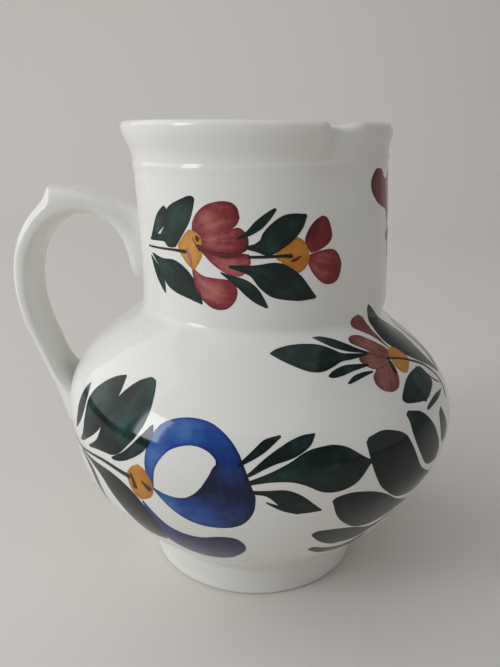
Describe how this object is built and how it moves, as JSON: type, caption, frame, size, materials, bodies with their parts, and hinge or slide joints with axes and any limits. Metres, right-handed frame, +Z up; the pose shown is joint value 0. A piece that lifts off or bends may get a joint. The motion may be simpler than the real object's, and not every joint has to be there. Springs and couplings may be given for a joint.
{
  "type": "pouring jug",
  "caption": "Round-bellied glazed earthenware jug with a straight neck, flared rim, broad pouring lip, strap handle with a thumb rest and painted flower sprays.",
  "frame": {"origin": "middle of the foot ring's standing face, on the jug's axis", "axes": "+Z up along the jug's axis, +X towards the spout, -X towards the handle"},
  "size_m": [0.1582, 0.141, 0.1623],
  "materials": {
    "glaze": "glossy white glaze with painted flowers",
    "foot": "glossy white glaze, bare clay on the standing face"
  },
  "bodies": {
    "root": {"foot_ring": "foot", "lower_bowl": "glaze", "shoulder": "glaze", "neck": "glaze", "rim_collar": "glaze", "spout": "glaze", "upper_root": "glaze", "handle_strap": "glaze", "thumb_rest": "glaze", "lower_root": "glaze"}
  },
  "joints": []
}
